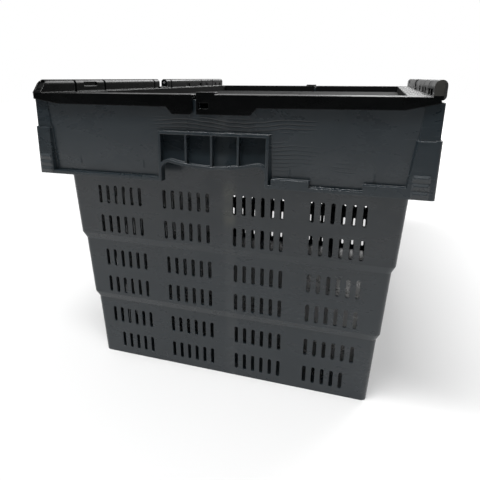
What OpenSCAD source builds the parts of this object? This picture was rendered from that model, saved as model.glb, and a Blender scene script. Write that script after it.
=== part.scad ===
// Attached lid tote: a stackable, vented container with two hinged lid halves.
// X runs across the short ends, Y along the long sides and Z up. The origin is
// the centre of the base. Each lid half turns on two steel rods at its long side.

/* [Overall] */
// Outside length, over the ridges of the corner pads
length = 600; // [596:1:606]
// Outside width, over the corner pads
width = 400; // [396:1:406]
// Height of the body's top flange
rim_z = 322; // [321:0.5:323]
// Wall thickness of the mouldings
wall = 2.5; // [2:0.1:3]

/* [Container walls] */
// Inset of the foot of a side wall from the overall width
foot_inset = 36; // [32:1:38]
// Extra inset of the two end walls
end_inset = 12; // [10:1:13]
// Slope of the walls, outward per millimetre of height
draft = 0.05; // [0.04:0.005:0.055]
// Outward jog of the walls between two tiers
step_w = 2.9; // [2:0.1:3.5]
// Height of the sloping jog
step_h = 8; // [6:1:10]
// Height of the lowest jog
first_step_z = 78; // [76:1:80]
// Height from one tier to the next
tier_pitch = 79.6; // [79:0.1:80]
// Radius of the container's vertical corners
corner_r = 6; // [5:1:14]
// Thickness of the floor
floor_t = 3; // [2:0.5:4]

/* [Vent slots] */
// Height of a slot
slot_h = 21; // [16:1:22]
// End walls: width of a slot, slot to slot, and group to group
end_slots = [4, 10, 80]; // [3:0.5:82]
// Number of slots in an end wall's group
end_group = 6; // [4:1:6]
// Side walls: width of a slot, slot to slot, and group to group
side_slots = [4, 10.6, 113.4]; // [3:0.1:120]
// Number of slots in a side wall's group
side_group = 9; // [4:1:9]
// Height of the middle of the lowest tier's two rows
first_slot_z = 38.4; // [37:0.1:40]
// Distance of each row from the middle of its tier
row_offset = 17.8; // [17:0.1:18.5]

/* [Rim band] */
// Height of the band's lower edge
band_z = 242; // [241:1:244]
// Height of the ledge along the lower edge
ledge_h = 3.5; // [3:0.5:5]
// Height of the top of the corner pads and handles
pad_top_z = 292; // [288:1:296]
// Distance of the pads, ledge and handle frames inside the overall length
face_inset = 1.5; // [1:0.5:3]
// Inset of the band's end panels at their top and at their lower edge
panel_inset = [4, 8]; // [3:0.5:9]
// Inset of the band's side panels at their top and at their lower edge
side_panel_inset = [1.5, 4]; // [1:0.5:5]

/* [Handles] */
// Half width of the grip opening
grip_half = 53; // [48:1:56]
// Thickness of the handle frame and of its curved bar
frame_t = 3; // [3:0.5:4]
// Height of the lowest point of the bar's underside
bar_z = 256.5; // [255:0.5:259]
// Radius of the bar's sagging underside
bar_r = 193.5; // [180:0.5:240]
// Radius of the grip opening's upper corners
grip_corner_r = 8; // [6:0.5:10]
// Distance between the handle's three ribs
rib_pitch = 26.4; // [24:0.2:27]

/* [Lids] */
// Height of the top of the lids' rim
lid_z = 326.5; // [326:0.1:327]
// Depth of the stacking recess below the rim
recess_d = 10; // [8:0.5:11]
// Half width and half length of the stacking recess
recess_half = [170, 267.5]; // [160:0.5:270]
// Depth of the lids' end skirts below the rim
skirt_d = 11.5; // [10:0.5:13]
// Gap between the two lid halves
lid_gap = 4.2; // [3:0.1:5]
// Reach of each lid's fingers past the middle
finger_reach = 14.4; // [12:0.1:16]

/* [Hinges] */
// Distance of the hinge axes inside the overall width
axis_inset = 6.8; // [6.5:0.1:7]
// Height of the hinge axes
axis_z = 334.8; // [334.5:0.1:335]
// Radius of the lids' hinge barrels
barrel_r = 5; // [4.8:0.1:5.2]
// Diameter of the hinge rods
rod_d = 4; // [3:0.5:4]
// Running clearance around a rod, on the radius
rod_clearance = 0.05; // [0.02:0.01:0.1]
// Distances of the body's hinge lugs from the middle of the long side
lug_y = [32, 174, 237]; // [30:1:250]
// Thickness of a lug
lug_t = 2.4; // [2:0.1:3]
// Half length of the open gap at the middle of each hinge
mid_gap = 13.5; // [12:0.5:16]

/* [Hidden] */
$fn = 48;
body_grey = [0.19, 0.21, 0.225];
lid_black = [0.05, 0.05, 0.055];
steel = [0.72, 0.73, 0.75];
eps = 0.01;
half_l = length/2;
half_w = width/2;
face_y = half_l - face_inset;
// Points along each quarter of a rounded corner
corner_steps = 6;
// Heights at which the container wall bends, each with the number of jogs below it
second_step_z = first_step_z + tier_pitch;
bends = [[first_step_z, 0], [first_step_z + step_h, 1], [second_step_z, 1], [second_step_z + step_h, 2]];
// Handle bar: centre of its arc, and centre of the rounded corner beside it
bar_centre_z = bar_z + bar_r;
lobe_x = grip_half - grip_corner_r;
lobe_z = bar_centre_z - sqrt(pow(bar_r + grip_corner_r, 2) - pow(lobe_x, 2));
rib_t = 2;
// Slope of the wall behind the ribs: its distance inside the overall length, high and low
pocket_inset = [12, 6];
// Corner pads, left and right of an end: where the face and the foot of its flank begin, low and high
left_pad = [[182.5, 182.5], [181, 181]];
right_pad = [[175.4, 181.7], [174.5, 178]];
pad_side_l = 28;
// Radius of the vertical corner of the pads and of the ledge
pad_corner_r = 2.4;
// The pads' ridges: where they begin, left and right, and their length and pitch
ridge_x = [183, 180.4];
ridge_l = 14.4;
ridge_pitch = 6.85;
ridge_foot_z = band_z + 0.75;
// Column above a pad: where its face begins, low and high, and how far it stands inside the overall length
column_x = [181.7, 184.1];
column_inset = 3.8;
// Width of the slanting flank at the handle's right side
flank_w = 3.2;
// Label stops on the ledge: each one's two sides, and their height
stops = [[59, 94], [141, 177]];
stop_z = 251.5;
// Seal eye: its two sides, lower edge and height
eye_x = [-12.1, -2.3];
eye_z = 313.8;
eye_h = 5.2;
// Lids
hinge_x = half_w - axis_inset;
lid_end_y = half_l - 0.5;
deck_z = lid_z - wall;
floor_z = lid_z - recess_d;
deck_edge_x = hinge_x - barrel_r - 0.6;
skirt_t = 2.3;
root_x = finger_reach + lid_gap;
finger_l = length/6;
finger_taper = 2;
finger_play = 0.5;
web_d = 7;
joint_gap = lug_t + 1.2;
lug_r = barrel_r - 1.6;
bore_r = rod_d/2 + rod_clearance;
rod_end_y = 282;
// Top of the barrel's foot across the middle gap, and length of the sloping +Y end
bridge_z = 328.6;
slope_l = 12.5;
// Far side of the block at the seal eye
block_x = 4;
// Recesses in the barrel's inner side towards its -Y end: where each begins, and its length
notches = [[-285, 21], [-258, 17], [-205, 17], [-169, 19], [-112, 18]];

// ---- helpers ----

// A rounded rectangle's outline at height z, from half sizes and a corner radius
function ring(hx, hy, r, z) = [
    for (q = [0:3], k = [0:corner_steps])
        let (a = 90*q + 90*k/corner_steps,
             cx = (q == 0 || q == 3 ? 1 : -1)*(hx - r),
             cy = (q < 2 ? 1 : -1)*(hy - r))
            [cx + r*cos(a), cy + r*sin(a), z]
];

// A closed solid through a stack of rings with equal numbers of points
module ring_solid(rings) {
    n = len(rings[0]);
    m = len(rings);
    polyhedron(
        points = [for (r = rings) each r],
        faces = concat(
            [[for (i = [0:n - 1]) i]],
            [for (j = [0:m - 2], i = [0:n - 1]) let (k = (i + 1)%n)
                [n*j + i, n*(j + 1) + i, n*(j + 1) + k, n*j + k]],
            [[for (i = [n - 1:-1:0]) n*(m - 1) + i]]));
}

// A block between a back quad and a front quad, each given by 4 points in X and Z
module wedge(back, back_y, front, front_y) {
    polyhedron(
        points = concat([for (p = back) [p[0], back_y, p[1]]], [for (p = front) [p[0], front_y, p[1]]]),
        faces = [[0, 1, 2, 3], [7, 6, 5, 4], [4, 5, 1, 0], [5, 6, 2, 1], [6, 7, 3, 2], [7, 4, 0, 3]]);
}

// Extrudes an outline in X and Z from y0 to y1
module along_y(y0, y1) {
    translate([0, y1, 0]) rotate([90, 0, 0]) linear_extrude(y1 - y0) children();
}

// Extrudes an outline in Y and Z from x0 to x1
module along_x(x0, x1) {
    translate([x0, 0, 0]) rotate([90, 0, 90]) linear_extrude(x1 - x0) children();
}

// A flat rectangle between two corners
module rect(x0, y0, x1, y1) {
    translate([x0, y0]) square([x1 - x0, y1 - y0]);
}

// A flat rounded rectangle, centred, from half sizes
module rounded(hx, hy, r) {
    rect(-hx + r, -hy, hx - r, hy);
    rect(-hx, -hy + r, hx, hy - r);
    for (sx = [-1, 1], sy = [-1, 1]) translate([sx*(hx - r), sy*(hy - r)]) circle(r);
}

// Repeats a feature of the front end at the back end, turned half round
module both_ends() {
    for (turn = [0, 180]) rotate([0, 0, turn]) children();
}

// ---- body ----

function wall_ring(z, jogs, thick) = let (d = foot_inset - draft*z - step_w*jogs + thick)
    ring(half_w - d, half_l - end_inset - d, corner_r - thick, z);

function band_ring(z, thick) =
    let (low = (rim_z - z)/(rim_z - band_z),
         dx = side_panel_inset[0] + (side_panel_inset[1] - side_panel_inset[0])*low + thick,
         dy = panel_inset[0] + (panel_inset[1] - panel_inset[0])*low + thick)
        ring(half_w - dx, half_l - dy, 6 - thick, z);

module container(thick, z0, z1) {
    ring_solid(concat([wall_ring(z0, 0, thick)], [for (b = bends) wall_ring(b[0], b[1], thick)],
                      [wall_ring(z1, 2, thick)]));
}

// One upright slot with round ends, centred
module slot(w) {
    straight = (slot_h - w)/2;
    square([w, slot_h - w], center = true);
    for (s = [-1, 1]) translate([0, s*straight]) circle(w/2, $fn = 24);
}

// The four groups of slots of one wall, six rows high; with short_foot, the lowest row has no outermost slots
module slot_field(sizes, per_group, short_foot) {
    last = per_group - 1;
    for (tier = [0:2], row = [-1, 1], g = [0:3], s = [0:last])
        if (!(short_foot && tier == 0 && row == -1 && ((g == 0 && s == 0) || (g == 3 && s == last))))
            translate([(g - 1.5)*sizes[2] + (s - last/2)*sizes[1],
                       first_slot_z + tier*tier_pitch + row*row_offset])
                slot(sizes[0]);
}

module band() {
    difference() {
        ring_solid([band_ring(band_z, 0), band_ring(rim_z, 0)]);
        ring_solid([band_ring(band_z - 1, wall), band_ring(rim_z - wall, wall)]);
        both_ends() translate([-grip_half, -half_l, band_z - 1])
            cube([2*grip_half, 2*panel_inset[1], pad_top_z - frame_t - band_z + 1]);
    }
}

module ledge() {
    translate([0, 0, band_z]) linear_extrude(ledge_h) difference() {
        rounded(half_w, face_y, pad_corner_r);
        rounded(half_w - side_panel_inset[1] - wall, half_l - panel_inset[1] - wall, 3);
        both_ends() rect(-grip_half, -half_l, grip_half, -half_l/2);
    }
}

// A hip-ended ridge across a pad, standing out to the overall length, with its crest above its middle
module ridge(x, z) {
    foot = [[x, z], [x + ridge_l, z], [x + ridge_l, z + ridge_pitch], [x, z + ridge_pitch]];
    crest_z = z + 0.6*ridge_pitch;
    hip = 1.8;
    crest = [[x + hip, crest_z - 0.2], [x + ridge_l - hip, crest_z - 0.2],
             [x + ridge_l - hip, crest_z + 0.2], [x + hip, crest_z + 0.2]];
    wedge(foot, -face_y + eps, crest, -half_l);
}

// The pad at the right of the front end, with its return along the side
module pad(edges, first_ridge_x) {
    face = edges[0];
    foot = edges[1];
    intersection() {
        union() {
            wedge([[foot[0], band_z], [half_w, band_z], [half_w, pad_top_z], [foot[1], pad_top_z]],
                  -half_l + panel_inset[1] + 1,
                  [[face[0], band_z], [half_w, band_z], [half_w, pad_top_z - 1], [face[1], pad_top_z - 1]],
                  -face_y);
            translate([half_w - side_panel_inset[1] - 1, -face_y, band_z])
                cube([side_panel_inset[1] + 1, pad_side_l, pad_top_z - band_z]);
        }
        linear_extrude(pad_top_z) rounded(half_w, face_y, pad_corner_r);
    }
    for (i = [0:2]) ridge(first_ridge_x, ridge_foot_z + i*ridge_pitch);
}

// The grip opening under the curved bar, or with grow, the outline of the bar and frame around it
module grip_outline(grow) {
    bar_half = lobe_x*(bar_r - grow)/(bar_r + grip_corner_r);
    rect(-grip_half - grow, band_z - 2, grip_half + grow, lobe_z);
    for (s = [-1, 1]) translate([s*lobe_x, lobe_z]) circle(grip_corner_r + grow);
    difference() {
        rect(-bar_half, band_z, bar_half, lobe_z + 2*grip_corner_r);
        translate([0, bar_centre_z]) circle(bar_r - grow, $fn = 180);
    }
}

module handle() {
    frame_top = pad_top_z - frame_t;
    frame_x = grip_half + frame_t;
    back_y = -half_l + panel_inset[1] + wall;
    pocket_high_y = -half_l + pocket_inset[0];
    pocket_low_y = -half_l + pocket_inset[1];
    difference() {
        union() {
            along_y(-face_y, back_y) difference() {
                rect(-frame_x, band_z, frame_x, pad_top_z);
                rect(-grip_half, band_z - 1, grip_half, frame_top);
            }
            along_y(-face_y, back_y) intersection() {
                grip_outline(frame_t);
                rect(-grip_half - 1, band_z, grip_half + 1, pad_top_z);
            }
            along_x(-grip_half - 1, grip_half + 1)
                polygon([[pocket_high_y, pad_top_z - 1], [pocket_low_y, bar_z],
                         [pocket_low_y + wall, bar_z], [pocket_high_y + wall, pad_top_z - 1]]);
            for (i = [-1:1]) along_x(i*rib_pitch - rib_t/2, i*rib_pitch + rib_t/2)
                polygon([[pocket_high_y + 1, frame_top + 1], [-face_y + 0.5, frame_top + 1],
                         [-face_y + 0.5, bar_z + frame_t - 0.5], [pocket_low_y + 1, bar_z + frame_t - 0.5]]);
            translate([-frame_x, -face_y + 1, frame_top])
                cube([2*frame_x, pocket_inset[0] + wall - face_inset - 1, frame_t]);
            wedge([[grip_half, band_z], [frame_x + flank_w, band_z], [frame_x + flank_w, pad_top_z],
                   [grip_half, pad_top_z]], back_y - 2,
                  [[grip_half, band_z], [frame_x - 0.5, band_z], [frame_x - 0.5, pad_top_z - 0.5],
                   [grip_half, pad_top_z - 0.5]], -face_y);
        }
        along_y(-half_l - 1, -half_l + 27) grip_outline(0);
    }
}

// The column above each pad, slightly proud of the end panel
module corner_column() {
    x1 = half_w - side_panel_inset[0] - 0.3;
    wedge([[column_x[0] - 1.5, pad_top_z - 1], [x1, pad_top_z - 1], [x1, rim_z], [column_x[1] - 1.5, rim_z]],
          -half_l + panel_inset[1] + 1,
          [[column_x[0], pad_top_z - 1], [x1, pad_top_z - 1], [x1, rim_z], [column_x[1], rim_z]],
          -half_l + column_inset);
}

module lugs() {
    for (sx = [-1, 1], sy = [-1, 1], y = lug_y)
        along_y(sy*y - lug_t/2, sy*y + lug_t/2) difference() {
            union() {
                translate([sx*hinge_x, axis_z]) circle(lug_r);
                rect(sx*hinge_x - lug_r, rim_z - 1, sx*hinge_x + lug_r, axis_z);
            }
            translate([sx*hinge_x, axis_z]) circle(bore_r);
        }
}

// Webs that tie the band to the container wall, inside the hollow
module webs() {
    web_z = band_z + 12;
    h = rim_z - wall - web_z + eps;
    for (sx = [-1, 1], sy = [-1, 1], y = lug_y)
        translate([sx*(half_w - 12) - 8, sy*y - 1, web_z]) cube([16, 2, h]);
    for (sx = [-1, 1], sy = [-1, 1], x = [75, 150])
        translate([sx*x - 1, sy*(half_l - 19) - 12, web_z]) cube([2, 24, h]);
}

module mouldings() {
    bead = 3;
    container(0, 0, rim_z);
    band();
    webs();
    translate([0, 0, rim_z - eps]) linear_extrude(1.6 + eps)
        rounded(half_w - foot_inset + draft*rim_z + 2*step_w + bead - wall,
                half_l - end_inset - foot_inset + draft*rim_z + 2*step_w + bead - wall, corner_r);
    ledge();
    both_ends() {
        pad(right_pad, ridge_x[1]);
        mirror([1, 0, 0]) pad(left_pad, ridge_x[0]);
        for (m = [0, 1]) mirror([m, 0, 0]) corner_column();
        handle();
        for (s = stops) along_y(-face_y, -half_l + panel_inset[1] + 1) rect(s[0], band_z, s[1], stop_z);
    }
    lugs();
}

module tote_body() {
    color(body_grey) difference() {
        difference() {
            mouldings();
            container(wall, floor_t, rim_z + 8);
            along_y(-half_l, half_l) slot_field(end_slots, end_group, true);
            both_ends() along_y(-half_l - 1, -half_l + 10) rect(eye_x[0], eye_z, eye_x[1], eye_z + eye_h);
        }
        // The side walls' slots are cut on their own, as they would cross those of the end walls
        along_x(-half_w, half_w) slot_field(side_slots, side_group, false);
    }
}

// ---- lids: drawn as the right one, hinged at +X; the left one is the same moulding turned half round ----

// Plan of the lid, with its interlocking fingers along the middle
module lid_plan(inset = 0) {
    edge = finger_taper + finger_play + inset;
    fingers = [for (i = [0:2]) let (y0 = -half_l + 2*i*finger_l, y1 = y0 + finger_l) each [
        [i == 0 ? -finger_reach + inset : root_x + inset, i == 0 ? -lid_end_y : y0 + finger_play + inset],
        [-finger_reach + inset, i == 0 ? -lid_end_y + 1 : y0 + edge],
        [-finger_reach + inset, y1 - edge],
        [root_x + inset, y1 - finger_play - inset]]];
    polygon(concat(fingers, [[root_x + inset, lid_end_y], [deck_edge_x, lid_end_y],
                             [deck_edge_x, -lid_end_y]]));
}

module recess_plan(grow) {
    intersection() {
        lid_plan();
        rounded(recess_half[0] + grow, recess_half[1] + grow, 6 + grow);
    }
}

// Outline of an end skirt in X and Z: the tab's two sides and lower edge, and the corner at the hinge
module skirt_outline(tab_x0, tab_x1, tab_z, end_x, end_z) {
    low = lid_z - skirt_d;
    polygon([[tab_x0, lid_z], [tab_x0, tab_z], [tab_x1, tab_z], [tab_x1 + 6.2, low], [168, low + 0.8],
             [end_x, end_z], [end_x, deck_z + 3], [deck_edge_x, lid_z]]);
}

module skirts() {
    along_y(-lid_end_y, -lid_end_y + skirt_t) skirt_outline(-finger_reach, 37.5, 308.4, hinge_x + 1.5, 321.5);
    along_y(lid_end_y - skirt_t, lid_end_y) difference() {
        skirt_outline(root_x, 39.4, 308.2, hinge_x + 4.6, 320.5);
        translate([root_x, 308.2]) difference() {
            rect(-1, -1, 4, 4);
            translate([4, 4]) circle(4);
        }
    }
}

// Section of the hinge barrel in X and Z
module barrel_section() {
    heel_r = 3.5;
    translate([hinge_x, axis_z]) circle(barrel_r);
    rect(hinge_x - barrel_r, deck_z, hinge_x + barrel_r - heel_r, axis_z);
    rect(hinge_x, deck_z + heel_r, hinge_x + barrel_r, axis_z);
    translate([hinge_x + barrel_r - heel_r, deck_z + heel_r]) circle(heel_r);
    rect(deck_edge_x - 1, deck_z, hinge_x, lid_z);
}

module barrel() {
    // Each half of the barrel runs from the middle gap past the three lugs to its end
    starts = concat([mid_gap], [for (y = lug_y) y + joint_gap/2]);
    ends = concat([for (y = lug_y) y - joint_gap/2], [lid_end_y]);
    core_w = 2*barrel_r - 4.4;
    for (m = [0, 1], i = [0:3]) mirror([0, m, 0]) difference() {
        along_y(starts[i], ends[i]) barrel_section();
        along_y(starts[i] + 2, ends[i] - 2.5)
            rect(hinge_x - core_w/2, deck_z - 1, hinge_x + core_w/2, axis_z - bore_r - 2.2);
    }
    // The foot of the barrel carries on across the middle gap
    along_y(-mid_gap - 1, mid_gap + 1) rect(deck_edge_x - 1, deck_z, hinge_x + 1, bridge_z);
}

// A sloping plane across the barrel's +Y end, as the outline of what lies beyond it
module beyond_slope(back, low_z, high_z) {
    polygon([[lid_end_y - back, low_z], [lid_end_y + 1, low_z], [lid_end_y + 1, high_z],
             [lid_end_y - back - slope_l, high_z]]);
}

// A slot with round ends in the barrel's inner side, centred at y and z
module window(y, z, l, h) {
    rect(y - (l - h)/2, z - h/2, y + (l - h)/2, z + h/2);
    for (s = [-1, 1]) translate([y + s*(l - h)/2, z]) circle(h/2, $fn = 24);
}

// The seal eye, the recesses in the barrel's inner side, the shaping of its two ends, and the rods' bores
module lid_cuts() {
    along_y(-lid_end_y - 1, -lid_end_y + skirt_t + 1) rect(eye_x[0], eye_z, eye_x[1], eye_z + eye_h);
    inner_x = hinge_x - barrel_r;
    along_x(inner_x - 0.7, inner_x + 1.6) window(206, axis_z - 0.3, 30, 4.4);
    for (n = notches) along_x(inner_x - 0.7, inner_x + 1.2) rect(n[0], lid_z + 0.6, n[0] + n[1], axis_z - 2);
    along_x(inner_x - 0.7, hinge_x + barrel_r + 1) beyond_slope(0, lid_z + 0.3, axis_z + barrel_r + 0.5);
    along_x(inner_x + 1.3, hinge_x + barrel_r - 1.3) beyond_slope(1, lid_z + 2, axis_z + barrel_r - 1.3);
    translate([0, 0, deck_z + 0.5]) linear_extrude(30)
        polygon([[hinge_x + 2.4, -lid_end_y - 1], [hinge_x + barrel_r + 1, -lid_end_y - 1],
                 [hinge_x + barrel_r + 1, -lid_end_y + 5.5], [hinge_x + 2.4, -lid_end_y - 0.01]]);
    for (m = [0, 1]) mirror([0, m, 0]) translate([hinge_x, rod_end_y + 1, axis_z])
        rotate([90, 0, 0]) cylinder(r = bore_r, h = rod_end_y + 1);
}

module lid() {
    color(lid_black) difference() {
        union() {
            translate([0, 0, deck_z]) linear_extrude(wall) difference() {
                lid_plan();
                rounded(recess_half[0], recess_half[1], 6);
            }
            translate([0, 0, floor_z - wall]) linear_extrude(recess_d) difference() {
                recess_plan(wall);
                rounded(recess_half[0], recess_half[1], 6);
            }
            translate([0, 0, floor_z - wall]) linear_extrude(wall) recess_plan(wall);
            translate([0, 0, floor_z - wall - web_d]) linear_extrude(web_d + eps) difference() {
                recess_plan(wall - 1);
                lid_plan(2.2);
            }
            skirts();
            along_y(-lid_end_y, -lid_end_y + 8.5) rect(-finger_reach, deck_z, block_x, lid_z + 2.2);
            barrel();
        }
        lid_cuts();
    }
}

module lid_left() {
    rotate([0, 0, 180]) lid();
}

module lid_right() {
    lid();
}

// ---- hinge rods: side is -1 for left or 1 for right, end is -1 for front or 1 for rear ----

module rod(side, end) {
    inner_y = mid_gap + 0.5;
    color(steel) translate([side*hinge_x, end > 0 ? rod_end_y : -inner_y, axis_z])
        rotate([90, 0, 0]) cylinder(d = rod_d, h = rod_end_y - inner_y);
}

tote_body();
lid_left();
lid_right();
rod(-1, -1);  // rod_left_front
rod(-1, 1);  // rod_left_rear
rod(1, -1);  // rod_right_front
rod(1, 1);  // rod_right_rear
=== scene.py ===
import math

import bpy
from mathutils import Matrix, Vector

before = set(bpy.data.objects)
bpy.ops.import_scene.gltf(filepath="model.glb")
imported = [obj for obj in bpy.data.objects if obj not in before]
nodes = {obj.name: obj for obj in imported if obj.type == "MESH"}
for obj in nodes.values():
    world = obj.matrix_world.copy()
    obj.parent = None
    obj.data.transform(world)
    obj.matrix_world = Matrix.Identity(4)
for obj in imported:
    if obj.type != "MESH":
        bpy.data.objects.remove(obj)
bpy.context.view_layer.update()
scene = bpy.context.scene

# ---- small helpers ----


def new_material(name):
    """A material with only a Principled shader and its output, with its tree and the shader."""
    mat = bpy.data.materials.new(name)
    mat.use_nodes = True
    tree = mat.node_tree
    tree.nodes.clear()
    out = tree.nodes.new("ShaderNodeOutputMaterial")
    shader = tree.nodes.new("ShaderNodeBsdfPrincipled")
    tree.links.new(shader.outputs["BSDF"], out.inputs["Surface"])
    return mat, tree, shader


def add(tree, kind, inputs=None, **props):
    """A node with its properties set; inputs are values, or sockets to link from."""
    n = tree.nodes.new(kind)
    for key, value in props.items():
        setattr(n, key, value)
    for key, value in (inputs or {}).items():
        if isinstance(value, bpy.types.NodeSocket):
            tree.links.new(value, n.inputs[key])
        else:
            n.inputs[key].default_value = value
    return n


def math_node(tree, operation, a, b=0.0):
    return add(tree, "ShaderNodeMath", {0: a, 1: b}, operation=operation).outputs[0]


def times(tree, *factors):
    """The product of two or more values or sockets."""
    product = factors[0]
    for factor in factors[1:]:
        product = math_node(tree, "MULTIPLY", product, factor)
    return product


def beyond(tree, value, distance):
    """One where value is further than distance from zero, on either side."""
    return math_node(tree, "GREATER_THAN", math_node(tree, "ABSOLUTE", value), distance)


def object_coords(tree, scale=(1, 1, 1)):
    coords = add(tree, "ShaderNodeTexCoord").outputs["Object"]
    return add(tree, "ShaderNodeMapping", {"Vector": coords, "Scale": scale}).outputs["Vector"]


def noise(tree, vector, scale, detail=2.0, rough=0.5, distortion=0.0):
    return add(tree, "ShaderNodeTexNoise", {"Vector": vector, "Scale": scale, "Detail": detail,
                                            "Roughness": rough, "Distortion": distortion}).outputs["Fac"]


def remap(tree, value, low, high, to_low, to_high):
    return add(tree, "ShaderNodeMapRange", {"Value": value, "From Min": low, "From Max": high,
                                            "To Min": to_low, "To Max": to_high}).outputs["Result"]


def mix_color(tree, factor, a, b):
    n = add(tree, "ShaderNodeMix", {"Factor": factor}, data_type="RGBA")
    for index, value in ((6, a), (7, b)):
        if isinstance(value, bpy.types.NodeSocket):
            tree.links.new(value, n.inputs[index])
        else:
            n.inputs[index].default_value = value
    return n.outputs[2]


# ---- materials ----

# Lengths are in metres, in the part's own frame
EDGE_RADIUS = 0.0011
# The end panels lie past the first of these in Y, and the end walls past the second
END_PANEL_Y, END_WALL_Y = 0.285, 0.24
# The lids' stacking field lies inside FIELD_Y and below FIELD_Z
FIELD_Y, FIELD_Z = 0.29, 0.3255
# The ends of the hinge barrels lie past all three of these
BARREL_X, BARREL_Y, BARREL_Z = 0.18, 0.2992, 0.3275
# Weld lines: where they lie over a handle and beside it, their pitch, and how far they sway and drift
OVER_HANDLE_X, OVER_HANDLE_Z = (-0.05, 0.085), (0.2945, 0.3045)
BESIDE_HANDLE_X, BESIDE_HANDLE_Z = (0.065, 0.125), (0.262, 0.281)
WELD_PITCH, WELD_SWAY, WELD_DRIFT = 0.0038, 0.0014, 0.016
# Radians per metre
SWAY_RATE = 62.0
# The streak below each gate, and the part of it that holds dust
STREAK_X, DUST_Z = (0.007, 0.012), (0.205, 0.225)
# Colours of the marks
WELD_DARK = (0.003, 0.004, 0.005, 1)
STREAK_PALE = (0.16, 0.165, 0.16, 1)
DUST_PALE = (0.10, 0.10, 0.07, 1)
SCRATCH_PALE = (0.2, 0.21, 0.22, 1)
# Painted sheen for the end faces of the hinge barrels
BARREL_SHEEN_PALE = (0.045, 0.044, 0.041, 1)


def band_mask(tree, value, low, high, soft):
    """One inside low..high, falling to nought over soft at either side."""
    rise = add(tree, "ShaderNodeMapRange", {"Value": value, "From Min": low - soft, "From Max": low},
               interpolation_type="SMOOTHSTEP").outputs["Result"]
    fall = add(tree, "ShaderNodeMapRange", {"Value": value, "From Min": high, "From Max": high + soft,
                                            "To Min": 1.0, "To Max": 0.0},
               interpolation_type="SMOOTHSTEP").outputs["Result"]
    return times(tree, rise, fall)


def weld_lines(tree, x, y, z, cloud):
    """Wavy lines where the melt met over the handles and beside them, on the panels at both ends."""
    sway = times(tree, math_node(tree, "SINE", times(tree, x, SWAY_RATE)), WELD_SWAY)
    drift = times(tree, cloud, WELD_DRIFT)
    height = math_node(tree, "ADD", math_node(tree, "ADD", z, sway), drift)
    cell = math_node(tree, "FRACT", math_node(tree, "DIVIDE", height, WELD_PITCH))
    off_middle = math_node(tree, "ABSOLUTE", math_node(tree, "SUBTRACT", cell, 0.5))
    line = remap(tree, off_middle, 0.3, 0.5, 0.0, 1.0)
    above = times(tree, band_mask(tree, x, *OVER_HANDLE_X, soft=0.015),
                  band_mask(tree, z, *OVER_HANDLE_Z, soft=0.001))
    beside = times(tree, band_mask(tree, x, *BESIDE_HANDLE_X, soft=0.012),
                   band_mask(tree, z, *BESIDE_HANDLE_Z, soft=0.006))
    patchy = remap(tree, cloud, 0.42, 0.56, 0.0, 0.8)
    region = math_node(tree, "MAXIMUM", above, times(tree, beside, patchy))
    return times(tree, line, times(tree, region, beyond(tree, y, END_PANEL_Y)))


def body_marks(tree, place, look):
    """Weld lines, a dusty streak below each gate, and long scratches from stacking and sliding."""
    x, y, z = place
    color, roughness, height, cloud, scuff = look
    lines = weld_lines(tree, x, y, z, cloud)
    color = mix_color(tree, lines, color, WELD_DARK)
    streak = times(tree, band_mask(tree, x, *STREAK_X, soft=0.007),
                   remap(tree, scuff, 0.35, 0.65, 0.25, 1.0), beyond(tree, y, END_WALL_Y))
    color = mix_color(tree, times(tree, streak, 0.1), color, STREAK_PALE)
    dust = times(tree, streak, band_mask(tree, z, *DUST_Z, soft=0.02))
    color = mix_color(tree, times(tree, dust, 0.5), color, DUST_PALE)
    # Stretched along both level directions, so that the scratches run along every wall
    scratch = noise(tree, object_coords(tree, (0.06, 0.06, 1.0)), scale=700.0, distortion=1.2)
    scratch = times(tree, remap(tree, scratch, 0.66, 0.72, 0.0, 1.0),
                    remap(tree, cloud, 0.5, 0.62, 0.0, 1.0))
    color = mix_color(tree, times(tree, scratch, 0.14), color, SCRATCH_PALE)
    roughness = math_node(tree, "ADD", roughness, times(tree, lines, 0.3))
    height = math_node(tree, "SUBTRACT", height, times(tree, lines, 0.9))
    return color, roughness, height


def lid_marks(tree, place, look):
    """A matt texture on the sunken stacking field, and a painted sheen on the ends of the hinge barrels:
    pale paint, patchy with the scuff noise.
    """
    x, y, z = place
    color, roughness, height, _, scuff = look
    inside = math_node(tree, "LESS_THAN", math_node(tree, "ABSOLUTE", y), FIELD_Y)
    matt = times(tree, math_node(tree, "LESS_THAN", z, FIELD_Z), inside)
    roughness = math_node(tree, "MAXIMUM", roughness, times(tree, matt, 0.8))
    face = times(tree, beyond(tree, y, BARREL_Y), math_node(tree, "GREATER_THAN", z, BARREL_Z),
                 beyond(tree, x, BARREL_X))
    # Painted sheen: the barrels' end faces are painted pale, in patches that follow the scuff noise
    painted_end_sheen = times(tree, face, remap(tree, scuff, 0.3, 0.7, 0.6, 1.0))
    color = mix_color(tree, painted_end_sheen, color, BARREL_SHEEN_PALE)
    return color, roughness, height


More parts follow.
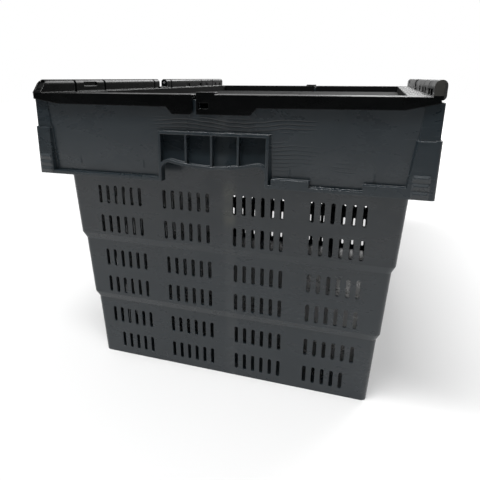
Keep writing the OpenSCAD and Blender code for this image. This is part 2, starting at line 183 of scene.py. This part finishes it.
def moulded_plastic(name, dark, light, rough, grain_depth, specular, marks):
    """Injection-moulded polypropylene: soft clouding, a fine grain and scuffs, and the part's own marks."""
    mat, tree, shader = new_material(name)
    plain = object_coords(tree)
    cloud = noise(tree, plain, scale=9.0, detail=3.0, rough=0.55, distortion=0.6)
    color = mix_color(tree, remap(tree, cloud, 0.3, 0.7, 0.0, 1.0), dark, light)
    level = object_coords(tree, (0.45, 0.45, 1.0))
    scuff = noise(tree, level, scale=48.0, detail=5.0, rough=0.65, distortion=0.4)
    roughness = remap(tree, scuff, 0.3, 0.75, *rough)
    grain = noise(tree, plain, scale=1400.0, rough=0.6)
    wave = noise(tree, plain, scale=22.0)
    height = math_node(tree, "ADD", times(tree, grain, 0.12), wave)
    split = add(tree, "ShaderNodeSeparateXYZ", {"Vector": plain}).outputs
    place = (split["X"], split["Y"], split["Z"])
    color, roughness, height = marks(tree, place, (color, roughness, height, cloud, scuff))
    tree.links.new(color, shader.inputs["Base Color"])
    tree.links.new(roughness, shader.inputs["Roughness"])
    # The mould's small edge radius catches the light along every rim and rib
    edge = add(tree, "ShaderNodeBevel", {"Radius": EDGE_RADIUS}, samples=6).outputs["Normal"]
    bump = add(tree, "ShaderNodeBump", {"Height": height, "Strength": 0.35, "Distance": grain_depth,
                                        "Normal": edge})
    tree.links.new(bump.outputs["Normal"], shader.inputs["Normal"])
    shader.inputs["Specular IOR Level"].default_value = specular
    return mat


def steel_wire(name):
    """Drawn steel, with fine streaks along the rod."""
    mat, tree, shader = new_material(name)
    along = object_coords(tree, (1.0, 0.02, 1.0))
    streak = noise(tree, along, scale=900.0, detail=3.0)
    tree.links.new(remap(tree, streak, 0.3, 0.7, 0.22, 0.42), shader.inputs["Roughness"])
    color = mix_color(tree, streak, (0.42, 0.42, 0.43, 1), (0.6, 0.6, 0.61, 1))
    tree.links.new(color, shader.inputs["Base Color"])
    shader.inputs["Metallic"].default_value = 1.0
    bump = add(tree, "ShaderNodeBump", {"Height": streak, "Strength": 0.2, "Distance": 0.00005})
    tree.links.new(bump.outputs["Normal"], shader.inputs["Normal"])
    return mat


body_plastic = moulded_plastic("body_plastic", dark=(0.010, 0.0155, 0.0195, 1),
                               light=(0.0135, 0.0195, 0.0240, 1),
                               rough=(0.22, 0.38), grain_depth=0.0005, specular=0.5, marks=body_marks)
lid_plastic = moulded_plastic("lid_plastic", dark=(0.0012, 0.0014, 0.0015, 1),
                              light=(0.0028, 0.003, 0.0032, 1),
                              rough=(0.2, 0.34), grain_depth=0.0003, specular=0.1, marks=lid_marks)
rod_steel = steel_wire("rod_steel")

for name, obj in nodes.items():
    if name == "tote_body":
        material = body_plastic
    elif name.startswith("lid"):
        material = lid_plastic
    else:
        material = rod_steel
    obj.data.materials.clear()
    obj.data.materials.append(material)

# ---- studio: pale floor, a room that is white to the camera, soft lights ----

# Brightness of the room in front of the tote, behind it and above it
FRONT_LIGHT, BACK_LIGHT, TOP_LIGHT = 0.03, 0.5, 0.3


def stage_plane(name, half, front, back, z, material):
    mesh = bpy.data.meshes.new(name)
    corners = [(-half, front, z), (half, front, z), (half, back, z), (-half, back, z)]
    mesh.from_pydata(corners, [], [(0, 1, 2, 3)])
    obj = bpy.data.objects.new(name, mesh)
    obj.data.materials.append(material)
    scene.collection.objects.link(obj)


floor_mat, floor_tree, floor_shader = new_material("studio_floor")
floor_shader.inputs["Base Color"].default_value = (0.56, 0.56, 0.56, 1)
floor_shader.inputs["Roughness"].default_value = 0.8
floor_shader.inputs["Emission Color"].default_value = (1, 1, 1, 1)
# The floor glows more with distance, so that it runs into the white room without an edge
floor_place = add(floor_tree, "ShaderNodeTexCoord").outputs["Object"]
away = add(floor_tree, "ShaderNodeVectorMath", {0: floor_place}, operation="LENGTH").outputs["Value"]
floor_tree.links.new(remap(floor_tree, away, 0.5, 2.6, 0.2, 1.0), floor_shader.inputs["Emission Strength"])
# The floor ends a short way in front of the tote, so that the upper panels reflect the dim room
stage_plane("studio_floor", half=5.0, front=-1.5, back=8.0, z=-0.0002, material=floor_mat)

world = bpy.data.worlds.new("studio")
scene.world = world
world.use_nodes = True
sky = world.node_tree
background = sky.nodes["Background"]
background.inputs["Color"].default_value = (1, 1, 1, 1)
# The room is bright behind and above the tote and dim in front of it, and white to the camera
seen_way = add(sky, "ShaderNodeTexCoord").outputs["Generated"]
way = add(sky, "ShaderNodeSeparateXYZ", {"Vector": seen_way}).outputs
along_y = remap(sky, way["Y"], -0.6, 0.5, FRONT_LIGHT, BACK_LIGHT)
top = remap(sky, way["Z"], 0.25, 0.65, 0.0, 1.0)
glow = math_node(sky, "MAXIMUM", along_y, times(sky, top, TOP_LIGHT))
backdrop = add(sky, "ShaderNodeLightPath").outputs["Is Camera Ray"]
level = add(sky, "ShaderNodeMix", {"Factor": backdrop, 2: glow, 3: 1.0}, data_type="FLOAT").outputs[0]
sky.links.new(level, background.inputs["Strength"])


def area_light(name, place, target, size, power):
    data = bpy.data.lights.new(name, "AREA")
    data.shape = "RECTANGLE"
    data.size, data.size_y = size
    data.energy = power
    obj = bpy.data.objects.new(name, data)
    obj.location = place
    aim = Vector(target) - Vector(place)
    obj.rotation_euler = aim.to_track_quat("-Z", "Y").to_euler()
    scene.collection.objects.link(obj)


area_light("key", place=(-1.7, -1.3, 1.1), target=(-0.1, -0.2, 0.15), size=(1.0, 1.0), power=3)
area_light("overhead", place=(-0.2, -0.75, 1.7), target=(0, -0.3, 0.2), size=(1.0, 0.3), power=38)
area_light("back", place=(0.8, 2.4, 1.8), target=(0, 0, 0.3), size=(2.2, 1.2), power=75)

# ---- camera ----

YAW, PITCH = math.radians(-19.19), math.radians(-17.62)
cam_data = bpy.data.cameras.new("camera")
cam_data.sensor_width = 36.0
cam_data.lens = 35.52
cam_data.shift_x = 0.0502
cam_data.shift_y = -0.0231
cam_data.clip_start = 0.01
camera = bpy.data.objects.new("camera", cam_data)
camera.location = (0.1532, -0.7242, 0.3407)
camera.rotation_euler = (math.pi/2 + PITCH, 0.0, -YAW)
scene.collection.objects.link(camera)
scene.camera = camera
scene.view_settings.view_transform = "Standard"
